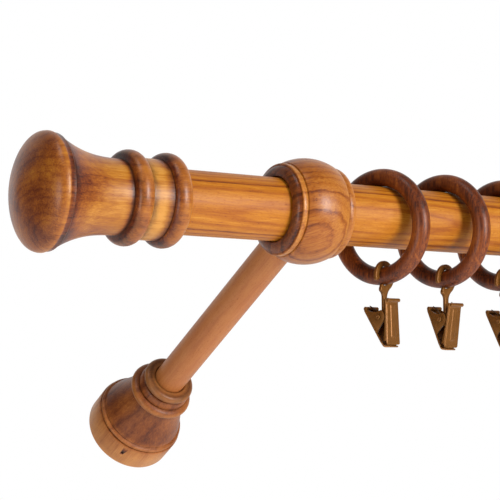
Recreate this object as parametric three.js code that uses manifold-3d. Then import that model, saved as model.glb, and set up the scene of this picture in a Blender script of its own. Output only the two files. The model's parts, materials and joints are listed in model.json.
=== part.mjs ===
// A wooden curtain pole on two turned brackets, with end finials and rings that carry spring clips.
// Millimetres. +X runs along the pole, +Y points to the wall side and +Z is up, the way the rings hang.
// The origin is the centre of the left wall cup's back face, on the wall.

import * as THREE from "three";
import { mergeVertices } from "three/addons/utils/BufferGeometryUtils.js";
import Module from "manifold-3d";

const wasm = await Module();
wasm.setup();

// Clearances between pieces that touch on the real object.
const GAP = 0.3;
const BORE_GAP = 0.45;

// How many flats go round a turned piece.
const TURNED_SEGMENTS = 20;

// Driving dimensions.
const POLE_LENGTH = 1000;
const POLE_RADIUS = 14;
const POLE_CHAMFER = 0.8;
const ARM_DROP = THREE.MathUtils.degToRad(36);
const ARM_REACH = 190;
const ARM_RADIUS = 7.75;
const FINIAL_SETBACK = 68.5;
const FINIAL_SOCKET = 25;
const RING_MAJOR = 22.5;
const RING_TUBE = 4.1;
const JAW_WIDTH = 9.5;

// Places worked out from the driving dimensions.
const BORE_RADIUS = POLE_RADIUS + BORE_GAP;
const POLE_OVERHANG = FINIAL_SETBACK + FINIAL_SOCKET - GAP;
const BRACKET_SPACING = POLE_LENGTH - 2 * POLE_OVERHANG;
const RING_DROP = RING_MAJOR - RING_TUBE - POLE_RADIUS - GAP;

// Each ring of the left group: how far it hangs from its bracket, how far it is turned about the vertical,
// and how far its clip's jaws lean, the lower end towards -Y.
const RINGS = [
  { offset: 41.3, turn: 16.5, lean: 5.5 },
  { offset: 77.2, turn: 13.8, lean: -4.5 },
  { offset: 113.2, turn: 12, lean: 0 },
];

const FINISHES = {
  poleWood: { color: 0xc27a2c, roughness: 0.35, metalness: 0 },
  turnedWood: { color: 0x9a5a2c, roughness: 0.4, metalness: 0 },
  armWood: { color: 0xb0713f, roughness: 0.45, metalness: 0 },
  ringWood: { color: 0x6b351a, roughness: 0.35, metalness: 0 },
  bronzePaint: { color: 0x7c5523, roughness: 0.4, metalness: 0.6 },
  steel: { color: 0x9a9ba0, roughness: 0.35, metalness: 0.9 },
  springSteel: { color: 0x5d5a55, roughness: 0.3, metalness: 0.9 },
};

// ---- Helpers ----

function piece(name, geometry, finish) {
  const mesh = new THREE.Mesh(geometry, new THREE.MeshStandardMaterial(FINISHES[finish]));
  mesh.name = name;
  return mesh;
}

// A closed geometry as a manifold-3d solid.
function solidOf(geometry) {
  const bare = geometry.clone();
  bare.deleteAttribute("normal");
  bare.deleteAttribute("uv");
  const merged = mergeVertices(bare, 1e-4);
  const vertProperties = Float32Array.from(merged.attributes.position.array);
  const triVerts = Uint32Array.from(merged.index.array);
  return new wasm.Manifold(new wasm.Mesh({ numProp: 3, vertProperties, triVerts }));
}

function geometryOf(solid) {
  const { vertProperties, triVerts } = solid.getMesh();
  const geometry = new THREE.BufferGeometry();
  geometry.setAttribute("position", new THREE.BufferAttribute(vertProperties, 3));
  geometry.setIndex(new THREE.BufferAttribute(triVerts, 1));
  return geometry;
}

// Joins the geometries in join, then cuts the ones in cut away.
function built({ join, cut = [] }) {
  let solid = join.map(solidOf).reduce((sum, next) => sum.add(next));
  for (const tool of cut) solid = solid.subtract(solidOf(tool));
  return geometryOf(solid);
}

// A body turned about +Y. The outline is a path in (radius, height), walked with the solid on its left.
function turned(outline, segments, steps = 2) {
  return new THREE.LatheGeometry(outline.getPoints(steps), segments);
}

// A straight round body about +Y, from height low to height high.
function rod(radius, low, high, segments) {
  return new THREE.CylinderGeometry(radius, radius, high - low, segments).translate(0, (low + high) / 2, 0);
}

// Lays a body turned about +Y along +X.
function alongX(geometry) {
  return geometry.rotateZ(-Math.PI / 2);
}

// Extrudes a shape drawn in (y, z) along +X, from low to high.
function sheetAcrossX(shape, low, high, curveSegments = 4) {
  const options = { depth: high - low, bevelEnabled: false, curveSegments };
  return new THREE.ExtrudeGeometry(shape, options).translate(0, 0, low).rotateX(Math.PI / 2).rotateZ(Math.PI / 2);
}

// A rounded bead of the given height on an outline that is going up, starting at its low end.
function bead(outline, coreRadius, low, height, bulge) {
  const middle = low + height / 2;
  outline.ellipse(coreRadius - outline.currentPoint.x, middle - outline.currentPoint.y,
    bulge, height / 2, -Math.PI / 2, Math.PI / 2, false);
}

// ---- Bracket: made with its arm along +Y, the wall face at y = 0 and the pole's axis at y = ARM_REACH ----

const ROSE = { radius: 22.6, length: 50, band: 14.2, recessRadius: 19, recessDepth: 12.3, socketDepth: 12.3 };
const WALL_CUP = { radius: 18.6, base: 2.6, wall: 1.6, height: 12 };
const SCREW_HOLE = { offset: 10.5, shank: 2.3, head: 4.1, straight: 0.9, cone: 1.1 };
const DOWEL_SCREW = { radius: 3, intoRose: 15, intoArm: 16 };
const ROSE_LOCK = { radius: 0.75, height: 9, turn: THREE.MathUtils.degToRad(55) };
const HOLDER = { radius: 23.6, centre: -1.5, armSocket: 7 };
const POLE_LOCK = { radius: 1.6, head: 3.1, headHeight: 1.7 };

// The cup is screwed to the wall through two countersunk holes, and the rose goes over it.
function wallCup() {
  const { radius, base, wall, height } = WALL_CUP;
  const outline = new THREE.Path()
    .moveTo(0, 0)
    .lineTo(radius, 0)
    .lineTo(radius, height)
    .lineTo(radius - wall, height)
    .lineTo(radius - wall, base)
    .lineTo(0, base);
  const { offset, shank, head, straight, cone } = SCREW_HOLE;
  const holes = [-1, 1].map((side) => {
    const hole = new THREE.Path()
      .moveTo(0, -1)
      .lineTo(shank, -1)
      .lineTo(shank, straight)
      .lineTo(head, straight + cone)
      .lineTo(head, base + 1)
      .lineTo(0, base + 1);
    return turned(hole, 12).translate(side * offset, 0, 0);
  });
  return built({ join: [turned(outline, TURNED_SEGMENTS)], cut: holes });
}

// The rose: a plain band by the wall, two quirks, a bell, a collar bead and the bead round the arm's socket.
function rose() {
  const { radius, length, band, recessRadius, recessDepth, socketDepth } = ROSE;
  const socketFloor = length - socketDepth;
  const dowelHole = DOWEL_SCREW.radius + GAP;
  const dowelFloor = socketFloor - DOWEL_SCREW.intoRose - GAP;
  const outline = new THREE.Path();
  outline.moveTo(0, recessDepth).lineTo(recessRadius, recessDepth).lineTo(recessRadius, 0);
  outline.lineTo(radius - 0.6, 0).lineTo(radius, 0.8).lineTo(radius, band - 0.6).lineTo(radius - 1.1, band);
  bead(outline, radius - 1.8, band, 2.2, 1.2);
  outline.lineTo(radius - 2.1, band + 3);
  outline.bezierCurveTo(radius - 4.2, band + 9.5, radius - 6.8, band + 14, radius - 8.4, band + 21.8);
  bead(outline, radius - 10, band + 22, 5, 3.4);
  outline.lineTo(radius - 9.2, band + 27.4);
  outline.quadraticCurveTo(radius - 9.6, band + 30, radius - 10.4, band + 31.2);
  bead(outline, radius - 12, band + 31.4, length - band - 31.4, 2.4);
  outline.lineTo(ARM_RADIUS + GAP, length).lineTo(ARM_RADIUS + GAP, socketFloor);
  outline.lineTo(dowelHole, socketFloor).lineTo(dowelHole, dowelFloor).lineTo(0, dowelFloor);
  const lockHole = lockScrewAt(rod(ROSE_LOCK.radius + GAP, recessRadius - 1, radius + 1, 10));
  return built({ join: [turned(outline, TURNED_SEGMENTS)], cut: [lockHole] });
}

// Turns a body along +Y to point out of the rose's band, and lifts it to the locking screw's height.
function lockScrewAt(geometry) {
  return geometry.rotateZ(Math.PI / 2).rotateY(ROSE_LOCK.turn).translate(0, ROSE_LOCK.height, 0);
}

function roseLockScrew() {
  return lockScrewAt(rod(ROSE_LOCK.radius, WALL_CUP.radius + GAP, ROSE.radius - 0.5, 10));
}

function arm() {
  const low = ROSE.length - ROSE.socketDepth + GAP;
  const high = ARM_REACH - HOLDER.radius + HOLDER.armSocket - GAP;
  const outline = new THREE.Path()
    .moveTo(0, low + DOWEL_SCREW.intoArm + GAP)
    .lineTo(DOWEL_SCREW.radius + GAP, low + DOWEL_SCREW.intoArm + GAP)
    .lineTo(DOWEL_SCREW.radius + GAP, low)
    .lineTo(ARM_RADIUS - 0.5, low)
    .lineTo(ARM_RADIUS, low + 0.5)
    .lineTo(ARM_RADIUS, high)
    .lineTo(0, high);
  return turned(outline, 20);
}

function dowelScrew() {
  const joint = ROSE.length - ROSE.socketDepth;
  return rod(DOWEL_SCREW.radius, joint - DOWEL_SCREW.intoRose, joint + DOWEL_SCREW.intoArm, 12);
}

// The holder, turned about the pole's axis: a chamfered mouth, a collar, a bead, the ball and a small flange.
function holder() {
  const mouth = -17.6;
  const back = 13.2;
  const { radius, centre } = HOLDER;
  const ballLow = -12.4;
  const ballHigh = 8.2;
  const angleOf = (x) => Math.asin((x - centre) / radius);
  const outline = new THREE.Path();
  outline.moveTo(BORE_RADIUS, mouth).lineTo(BORE_RADIUS + 0.9, mouth);
  outline.quadraticCurveTo(18.4, mouth + 0.4, 18.9, mouth + 2.3);
  bead(outline, 19.6, mouth + 2.4, 2.6, 0.7);
  outline.absarc(0, centre, radius, angleOf(ballLow), angleOf(ballHigh), false);
  bead(outline, 19.4, ballHigh + 0.4, 4.2, 1.1);
  outline.lineTo(18.8, back).lineTo(BORE_RADIUS, back).lineTo(BORE_RADIUS, mouth);
  const ball = alongX(turned(outline, TURNED_SEGMENTS)).translate(0, ARM_REACH, 0);
  const socketFloor = ARM_REACH - radius + HOLDER.armSocket;
  const armHole = rod(ARM_RADIUS + GAP, socketFloor - 20, socketFloor, 20);
  const lockHole = poleLockAt(rod(POLE_LOCK.radius + GAP, POLE_RADIUS - 1, radius - POLE_LOCK.headHeight, 10));
  const headHole = poleLockAt(rod(POLE_LOCK.head + GAP, radius - POLE_LOCK.headHeight - GAP, radius + 1, 10));
  return built({ join: [ball], cut: [armHole, lockHole, headHole] });
}

// Stands a body along +Y on the holder's far side, square to the arm and to the pole.
function poleLockAt(geometry) {
  return geometry.rotateX(-Math.PI / 2).translate(0, ARM_REACH, 0);
}

function poleLockScrew() {
  const outline = new THREE.Path()
    .moveTo(0, POLE_RADIUS + GAP)
    .lineTo(POLE_LOCK.radius, POLE_RADIUS + GAP + 1.2)
    .lineTo(POLE_LOCK.radius, HOLDER.radius - POLE_LOCK.headHeight)
    .lineTo(POLE_LOCK.head, HOLDER.radius - POLE_LOCK.headHeight)
    .lineTo(POLE_LOCK.head, HOLDER.radius - 0.9)
    .lineTo(POLE_LOCK.head - 0.8, HOLDER.radius - 0.4)
    .lineTo(0, HOLDER.radius - 0.4);
  return poleLockAt(turned(outline, 10));
}

function bracket(side) {
  const group = new THREE.Group();
  group.add(piece(`wall_cup_${side}`, wallCup(), "steel"));
  group.add(piece(`rose_${side}`, rose(), "turnedWood"));
  group.add(piece(`rose_lock_screw_${side}`, roseLockScrew(), "springSteel"));
  group.add(piece(`dowel_screw_${side}`, dowelScrew(), "steel"));
  group.add(piece(`arm_${side}`, arm(), "armWood"));
  group.add(piece(`holder_${side}`, holder(), "turnedWood"));
  group.add(piece(`pole_lock_screw_${side}`, poleLockScrew(), "steel"));
  group.rotation.x = Math.PI - ARM_DROP;
  return group;
}

// ---- Pole and finials: made about the pole's axis, with x = 0 at the left bracket ----

function pole() {
  const outline = new THREE.Path()
    .moveTo(0, 0)
    .lineTo(POLE_RADIUS - POLE_CHAMFER, 0)
    .lineTo(POLE_RADIUS, POLE_CHAMFER)
    .lineTo(POLE_RADIUS, POLE_LENGTH - POLE_CHAMFER)
    .lineTo(POLE_RADIUS - POLE_CHAMFER, POLE_LENGTH)
    .lineTo(0, POLE_LENGTH);
  return alongX(turned(outline, 24)).translate(-POLE_OVERHANG, 0, 0);
}

// A finial from its socket mouth at height 0: two beads, a neck, a flare, a stepped rim and the domed end.
function finial() {
  const tube = 17.2;
  const neck = 16;
  const rim = 24.7;
  const rimLow = 59.4;
  const rimHigh = 61;
  const domeTop = 71.8;
  const outline = new THREE.Path();
  outline.moveTo(BORE_RADIUS, 0).lineTo(tube, 0);
  bead(outline, tube, 0.4, 8, 3);
  outline.lineTo(tube, 18.5);
  bead(outline, tube, 18.5, 7.8, 3);
  outline.lineTo(neck, 28.5);
  outline.bezierCurveTo(neck, 38.5, 17.6, 46.5, 23.6, rimLow - 2.6);
  outline.lineTo(24.2, rimLow - 2.3).lineTo(rim, rimLow).lineTo(rim, rimHigh);
  outline.bezierCurveTo(24.2, 67, 6, domeTop, 0, domeTop);
  outline.lineTo(0, FINIAL_SOCKET).lineTo(BORE_RADIUS, FINIAL_SOCKET).lineTo(BORE_RADIUS, 0);
  return alongX(turned(outline, TURNED_SEGMENTS, 4));
}

// ---- Ring with its clip: +X is the ring's own axis, and z = 0 is its centre ----

const HOOK = { inner: 4.5, outer: 6.9, sheet: 1.5, shank: 2.6, tip: 197, nub: 237 };

// The hook sits a little way round the ring from its lowest point, and its shank leans, both towards -Y.
const HOOK_ROUND_RING = THREE.MathUtils.degToRad(8);
const SHANK_LEAN = 4.2;

const PIVOT_DROP = 18.9;
const PIN = { radius: 0.85, head: 1.3, headHeight: 0.5, segments: 10 };
const PIN_HOLE = PIN.radius + GAP;
const KNUCKLE = { radius: 2.1, half: 1.2 };
const CHEEK = { inner: 4.05, outer: JAW_WIDTH / 2, radius: 3.5 };
const EAR = { inner: 3.1, outer: 3.7, radius: 2.4 };
const SPRING = { radius: 1.95, low: -2.8, high: -1.5 };

function pinHole(half) {
  return alongX(rod(PIN_HOLE, -half, half, PIN.segments));
}

function circlePoint(radius, degrees) {
  const angle = THREE.MathUtils.degToRad(degrees);
  return [radius * Math.cos(angle), radius * Math.sin(angle)];
}

// Extrudes a shape drawn in (x, z) along +Y, from low to high.
function sheetAcrossY(shape, low, high, curveSegments = 4) {
  const options = { depth: high - low, bevelEnabled: false, curveSegments };
  return new THREE.ExtrudeGeometry(shape, options).translate(0, 0, -high).rotateX(Math.PI / 2);
}

// The hook is stamped from sheet in the ring's cross-section plane, with its shank's end rolled into a knuckle.
function hook() {
  const { inner, outer, sheet, shank, tip, nub } = HOOK;
  const turn = THREE.MathUtils.degToRad;
  const joinAngle = -58;
  const shape = new THREE.Shape();
  shape.moveTo(...circlePoint(inner, tip));
  shape.lineTo(...circlePoint(outer - 0.4, tip + 2));
  shape.absarc(0, 0, outer, turn(tip), turn(joinAngle), true);
  shape.quadraticCurveTo(shank / 2 + 0.2, -outer - 0.6, shank / 2, -outer - 3);
  shape.lineTo(shank / 2, -PIVOT_DROP + 1.4);
  shape.lineTo(-shank / 2, -PIVOT_DROP + 1.4);
  shape.lineTo(-shank / 2, -outer - 2.4);
  shape.quadraticCurveTo(-shank / 2 - 0.4, -outer - 0.8, -2.9, -outer - 0.1);
  shape.lineTo(-3.3, -outer + 1);
  shape.lineTo(...circlePoint(inner, nub));
  shape.absarc(0, 0, inner, turn(nub - 360), turn(tip), false);
  const knuckle = alongX(rod(KNUCKLE.radius, -KNUCKLE.half, KNUCKLE.half, 12)).translate(0, 0, -PIVOT_DROP);
  return built({
    join: [sheetAcrossY(shape, -sheet / 2, sheet / 2, 6), knuckle],
    cut: [pinHole(4).translate(0, 0, -PIVOT_DROP)],
  });
}

// Both jaws are drawn in (y, z) about the pin, with the front jaw on the -Y side.
const FRONT = {
  face: -4.7, inside: -3.9, back: -3.8, backLow: -2.7, top: 8.1, bottom: -12.7,
  halfTop: 4.6, halfBottom: 5.2, corner: 1.2, flange: 0.6, rib: 1.5,
  lip: { y: -5.1, z: 7.4, radius: 0.85 },
};
const REAR = { top: 3.4, bottom: -13.9, back: -2.22, slope: 0.6, sheet: 0.8, roll: { y: 7.4, z: 4, radius: 0.95 } };

// The front jaw's face, wider at its lower end, with both lower corners rounded.
function faceOutline() {
  const { top, bottom, halfTop, halfBottom, corner } = FRONT;
  const shape = new THREE.Shape();
  shape.moveTo(-halfTop, top).lineTo(-halfBottom, bottom + corner);
  shape.quadraticCurveTo(-halfBottom, bottom, -halfBottom + corner, bottom);
  shape.lineTo(halfBottom - corner, bottom);
  shape.quadraticCurveTo(halfBottom, bottom, halfBottom, bottom + corner);
  shape.lineTo(halfTop, top);
  return shape;
}

// The face with a shallow flange down each side, deeper at its lower end.
function frontShell() {
  const { face, inside, back, backLow, top, bottom, halfTop, halfBottom, flange } = FRONT;
  const hollow = new THREE.Shape();
  hollow.moveTo(flange - halfTop, top + 1).lineTo(flange - halfBottom, bottom - 1);
  hollow.lineTo(halfBottom - flange, bottom - 1).lineTo(halfTop - flange, top + 1);
  const behind = new THREE.Shape();
  behind.moveTo(back, top + 1).lineTo(back, -1).lineTo(backLow, bottom + 1).lineTo(backLow, bottom - 1);
  behind.lineTo(0, bottom - 1).lineTo(0, top + 1);
  return built({
    join: [sheetAcrossY(faceOutline(), face, backLow + 0.2, 3)],
    cut: [sheetAcrossY(hollow, inside, 0), sheetAcrossX(behind, -JAW_WIDTH, JAW_WIDTH)],
  });
}

function frontJaw() {
  const { face, inside, halfTop, rib, lip } = FRONT;
  const ribShape = new THREE.Shape();
  ribShape.moveTo(-rib, 5).lineTo(-rib, -9).lineTo(0, -9.8).lineTo(rib, -9).lineTo(rib, 5).lineTo(0, 5.7);
  const ear = new THREE.Shape();
  ear.moveTo(inside - 0.3, 3.6).lineTo(inside - 0.3, -3.6).lineTo(-1, -EAR.radius);
  ear.absarc(0, 0, EAR.radius, -Math.PI / 2, Math.PI / 2, false);
  ear.lineTo(-1, EAR.radius);
  return built({
    join: [
      frontShell(),
      sheetAcrossY(ribShape, face - 0.35, inside - 0.2),
      alongX(rod(lip.radius, -halfTop, halfTop, 10)).translate(0, lip.y, lip.z),
      sheetAcrossX(ear, -EAR.outer, -EAR.inner),
      sheetAcrossX(ear, EAR.inner, EAR.outer),
    ],
    cut: [pinHole(JAW_WIDTH)],
  });
}

// The rear jaw's sloping plate curls under the front jaw, and its two cheeks hold the pin.
function rearJaw() {
  const { top, bottom, sheet, slope, roll } = REAR;
  const low = -12.2;
  const backAt = (z) => slope * (z - bottom) + REAR.back;
  const plate = new THREE.Shape();
  plate.moveTo(backAt(top) - sheet, top).lineTo(backAt(low) - sheet, low + 0.2);
  plate.lineTo(-2.9, bottom + sheet).lineTo(-4.6, bottom + sheet).lineTo(-4.9, bottom + sheet / 2);
  plate.lineTo(-4.6, bottom).lineTo(-3, bottom).lineTo(-2.2, bottom + 0.3);
  plate.lineTo(backAt(low), low).lineTo(backAt(top), top);
  const cheek = new THREE.Shape();
  cheek.moveTo(7.4, 3.9).lineTo(5.2, 4.7).lineTo(1.6, 2.9).lineTo(-0.3, 2.75).lineTo(-1.4, 3.2);
  cheek.absarc(0, 0, CHEEK.radius, Math.PI * 0.63, Math.PI * 1.21, false);
  cheek.lineTo(0.2, -5.9).lineTo(0.9, -7.3);
  return built({
    join: [
      sheetAcrossX(plate, -JAW_WIDTH / 2, JAW_WIDTH / 2),
      alongX(rod(roll.radius, -JAW_WIDTH / 2, JAW_WIDTH / 2, 10)).translate(0, roll.y, roll.z),
      sheetAcrossX(cheek, -CHEEK.outer, -CHEEK.inner),
      sheetAcrossX(cheek, CHEEK.inner, CHEEK.outer),
    ],
    cut: [pinHole(JAW_WIDTH)],
  });
}

function pivotPin() {
  const { radius, head, headHeight, segments } = PIN;
  const grip = CHEEK.outer + GAP;
  const outline = new THREE.Path()
    .moveTo(0, -grip - headHeight)
    .lineTo(head - 0.4, -grip - headHeight)
    .lineTo(head, -grip)
    .lineTo(radius, -grip)
    .lineTo(radius, grip)
    .lineTo(head, grip)
    .lineTo(head - 0.4, grip + headHeight)
    .lineTo(0, grip + headHeight);
  return alongX(turned(outline, segments));
}

// The closed coils of the torsion spring, on the pin.
function springCoils() {
  const { radius, low, high } = SPRING;
  const outline = new THREE.Path()
    .moveTo(PIN_HOLE, low)
    .lineTo(radius, low)
    .lineTo(radius, high)
    .lineTo(PIN_HOLE, high)
    .lineTo(PIN_HOLE, low);
  return alongX(turned(outline, 12));
}

function ringWithClip(number, lean) {
  const group = new THREE.Group();
  const torus = new THREE.TorusGeometry(RING_MAJOR, RING_TUBE, 8, 22).rotateZ(Math.PI / 22);
  group.add(piece(`ring_${number}`, torus.rotateY(Math.PI / 2), "ringWood"));

  const clip = new THREE.Group();
  clip.position.set(0, -RING_MAJOR * Math.sin(HOOK_ROUND_RING), -RING_MAJOR * Math.cos(HOOK_ROUND_RING));
  clip.rotation.x = -THREE.MathUtils.degToRad(SHANK_LEAN);
  clip.add(piece(`hook_${number}`, hook(), "bronzePaint"));
  group.add(clip);

  const jaws = new THREE.Group();
  jaws.position.z = -PIVOT_DROP;
  jaws.rotation.x = -THREE.MathUtils.degToRad(lean - SHANK_LEAN);
  jaws.add(piece(`rear_jaw_${number}`, rearJaw(), "bronzePaint"));
  jaws.add(piece(`front_jaw_${number}`, frontJaw(), "bronzePaint"));
  jaws.add(piece(`pivot_pin_${number}`, pivotPin(), "bronzePaint"));
  jaws.add(piece(`clip_spring_${number}`, springCoils(), "springSteel"));
  clip.add(jaws);
  return group;
}

// ---- The whole rod ----

const curtainRod = new THREE.Group();

curtainRod.add(bracket("left"));
const rightBracket = new THREE.Group();
rightBracket.add(bracket("right"));
rightBracket.position.x = BRACKET_SPACING;
rightBracket.scale.x = -1;
curtainRod.add(rightBracket);

const poleAxis = new THREE.Group();
poleAxis.position.set(0, -ARM_REACH * Math.cos(ARM_DROP), ARM_REACH * Math.sin(ARM_DROP));
poleAxis.add(piece("pole", pole(), "poleWood"));
curtainRod.add(poleAxis);

const leftFinial = piece("finial_left", finial(), "turnedWood");
leftFinial.position.x = -FINIAL_SETBACK;
leftFinial.rotation.z = Math.PI;
const rightFinial = piece("finial_right", finial(), "turnedWood");
rightFinial.position.x = BRACKET_SPACING + FINIAL_SETBACK;
poleAxis.add(leftFinial, rightFinial);

// The right group mirrors the left one, and the numbers run on from left to right.
const count = 2 * RINGS.length;
RINGS.forEach(({ offset, turn, lean }, index) => {
  for (const [number, side] of [[index + 1, 1], [count - index, -1]]) {
    const ring = ringWithClip(number, lean);
    ring.position.set(side > 0 ? offset : BRACKET_SPACING - offset, 0, -RING_DROP);
    ring.rotation.z = side * THREE.MathUtils.degToRad(turn);
    poleAxis.add(ring);
  }
});

export default curtainRod;
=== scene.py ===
"""A curtain rod on two turned brackets, with finials and rings that carry spring clips.

Shapes are drawn in millimetres in local frames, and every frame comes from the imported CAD.
A turned piece is a lathe about its local X, with its outline in (radius, height).
"""

import json
import math

import bmesh
import bpy
import numpy as np
from mathutils import Matrix, Vector


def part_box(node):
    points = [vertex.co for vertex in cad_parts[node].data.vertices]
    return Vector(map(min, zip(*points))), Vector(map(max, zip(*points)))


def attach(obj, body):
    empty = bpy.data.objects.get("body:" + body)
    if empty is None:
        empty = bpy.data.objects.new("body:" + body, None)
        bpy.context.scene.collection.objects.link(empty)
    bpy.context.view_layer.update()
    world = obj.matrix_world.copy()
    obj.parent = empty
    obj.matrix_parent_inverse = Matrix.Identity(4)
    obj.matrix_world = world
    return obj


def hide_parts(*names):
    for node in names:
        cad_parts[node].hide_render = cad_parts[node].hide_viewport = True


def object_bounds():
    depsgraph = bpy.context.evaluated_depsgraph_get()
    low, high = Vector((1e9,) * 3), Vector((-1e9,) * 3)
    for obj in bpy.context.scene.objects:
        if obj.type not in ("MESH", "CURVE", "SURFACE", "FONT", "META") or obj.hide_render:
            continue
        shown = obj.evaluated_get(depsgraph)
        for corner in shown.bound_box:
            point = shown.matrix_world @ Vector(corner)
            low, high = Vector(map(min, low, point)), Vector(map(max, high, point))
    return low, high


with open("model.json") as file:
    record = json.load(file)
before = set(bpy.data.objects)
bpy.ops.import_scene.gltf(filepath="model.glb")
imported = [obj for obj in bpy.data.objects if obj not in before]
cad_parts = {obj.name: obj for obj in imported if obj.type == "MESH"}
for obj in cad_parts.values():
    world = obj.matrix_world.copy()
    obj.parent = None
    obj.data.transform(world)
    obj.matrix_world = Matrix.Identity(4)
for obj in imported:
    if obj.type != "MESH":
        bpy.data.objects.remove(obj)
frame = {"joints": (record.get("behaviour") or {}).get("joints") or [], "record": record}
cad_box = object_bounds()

MM = 0.001
UP = Vector((0, 0, 1))
RING_COUNT = 6
JOINTS = {j["name"]: j for j in frame["joints"]}
MOUNTS = {m["name"]: m for m in frame["record"]["mounts"]}

# Sizes the CAD source drives, in millimetres.
POLE_RADIUS = 14.0
BORE = 14.45
ARM_REACH = 190.0
ARM_RADIUS = 7.75
ROSE_LENGTH = 50.0
ROSE_SOCKET = 37.7
BALL_RADIUS = 23.6
BALL_CENTRE = -1.5
RING_MAJOR = 22.5
RING_TUBE = 4.1
PIVOT_DROP = 18.9
JAW_HALF = 4.75
GAP = 0.3
ROSE_LOCK_HEIGHT = 9.0
HOLDER_SOCKET = ARM_REACH - BALL_RADIUS + 7
POLE_LOCK_SEAT = BALL_RADIUS - 1.7
PIN_HOLE = 1.15

# How far each clip's jaws lean at rest, in degrees.
JAW_LEANS = (5.5, -4.5, 0.0, 0.0, -4.5, 5.5)
# The rings rest on the pole in life, where the CAD bodies stay a gap apart.
SETTLE = Matrix.Translation((0, 0, -0.25 * MM))
# Edges that turn by more than this are shaded sharp, in degrees.
SHARP_ANGLE = 32


# ---- frames


def local_frame(origin, x_axis, y_axis):
    """The matrix of a frame at origin, with its X along x_axis and its Y towards y_axis."""
    x = Vector(x_axis).normalized()
    y = Vector(y_axis)
    y = (y - x * y.dot(x)).normalized()
    turn = Matrix((x, y, x.cross(y))).transposed()
    return Matrix.Translation(origin) @ turn.to_4x4()


def middle(node):
    """The middle of a CAD node's box."""
    low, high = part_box(node)
    return (low + high) / 2


POLE_MIDDLE = middle("pole")
POLE_LENGTH = (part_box("pole")[1].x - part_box("pole")[0].x) / MM


# ---- outlines


class Outline:
    """A path in (radius, height), in millimetres."""

    def __init__(self, radius, height):
        self.points = [(radius, height)]

    def to(self, *points):
        self.points.extend(points)
        return self

    def curve(self, function, steps):
        """Points of function(t), at equal steps of t up to 1."""
        self.points.extend(function(i / steps) for i in range(1, steps + 1))
        return self

    def straight(self, end, steps):
        """Equal steps along a straight line."""
        start = self.points[-1]
        return self.curve(lambda t: tuple(a + (b - a) * t for a, b in zip(start, end)), steps)

    def bead(self, core, low, height, bulge, steps=14):
        """A half-round bead standing on the radius core, from low up by height."""
        middle_height = low + height / 2
        self.points.append((core, low))

        def point(t):
            angle = math.pi * (t - 0.5)
            return core + bulge * math.cos(angle), middle_height + height / 2 * math.sin(angle)

        return self.curve(point, steps)

    def bezier(self, first, second, end, steps):
        start = self.points[-1]

        def point(t):
            weights = ((1 - t) ** 3, 3 * t * (1 - t) ** 2, 3 * t * t * (1 - t), t**3)
            corners = (start, first, second, end)
            return tuple(sum(w * c[k] for w, c in zip(weights, corners)) for k in (0, 1))

        return self.curve(point, steps)

    def arc(self, centre, radius, low, high, steps):
        """A circle about (0, centre), from height low to height high."""
        first, last = (math.asin((h - centre) / radius) for h in (low, high))

        def point(t):
            angle = first + (last - first) * t
            return radius * math.cos(angle), centre + radius * math.sin(angle)

        self.points.append((math.sqrt(max(radius**2 - (low - centre) ** 2, 0)), low))
        return self.curve(point, steps)


def relief_of(points):
    """How far each point of an outline stands proud of the outline's average round it, in millimetres."""
    reach, step = 2.2, 0.2
    path = np.array(points, float)
    travelled = np.concatenate([[0], np.cumsum(np.linalg.norm(np.diff(path, axis=0), axis=1))])
    even = np.arange(0, travelled[-1], step)
    radius, height = (np.interp(even, travelled, path[:, k]) for k in (0, 1))
    offsets = np.arange(-3 * reach, 3 * reach + step, step)
    kernel = np.exp(-0.5 * (offsets / reach) ** 2)
    kernel /= kernel.sum()
    pad = len(kernel) // 2

    def smoothed(values):
        padded = np.pad(values, pad, mode="edge")
        return np.convolve(padded, kernel, mode="valid")[: len(values)]

    smooth_radius, smooth_height = smoothed(radius), smoothed(height)
    along = np.stack([np.gradient(smooth_radius), np.gradient(smooth_height)], axis=1)
    along /= np.maximum(np.linalg.norm(along, axis=1, keepdims=True), 1e-9)
    outward = np.stack([along[:, 1], -along[:, 0]], axis=1)
    proud = (radius - smooth_radius) * outward[:, 0] + (height - smooth_height) * outward[:, 1]
    return np.interp(travelled, even, proud)


# ---- meshes


def smooth(mesh, sharp_angle=SHARP_ANGLE):
    mesh.polygons.foreach_set("use_smooth", [True] * len(mesh.polygons))
    mesh.set_sharp_from_angle(angle=math.radians(sharp_angle))


def in_scene(name, data):
    made = bpy.data.objects.new(name, data)
    bpy.context.scene.collection.objects.link(made)
    return made


def new_object(name, mesh, matrix, sharp_angle=SHARP_ANGLE):
    smooth(mesh, sharp_angle)
    made = in_scene(name, mesh)
    made.matrix_world = matrix
    return made


def mesh_of(name, vertices, faces, attributes=None):
    """A mesh from vertices in millimetres, with its normals outwards."""
    mesh = bpy.data.meshes.new(name)
    mesh.from_pydata([Vector(v) * MM for v in vertices], [], faces)
    for key, values in (attributes or {}).items():
        mesh.attributes.new(key, "FLOAT", "POINT").data.foreach_set("value", values)
    shape = bmesh.new()
    shape.from_mesh(mesh)
    bmesh.ops.recalc_face_normals(shape, faces=shape.faces)
    shape.to_mesh(mesh)
    shape.free()
    return mesh


def circle_at(radius, height, count):
    """Points on a circle round local X."""
    angles = [2 * math.pi * i / count for i in range(count)]
    return [(height, radius * math.cos(a), radius * math.sin(a)) for a in angles]


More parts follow.
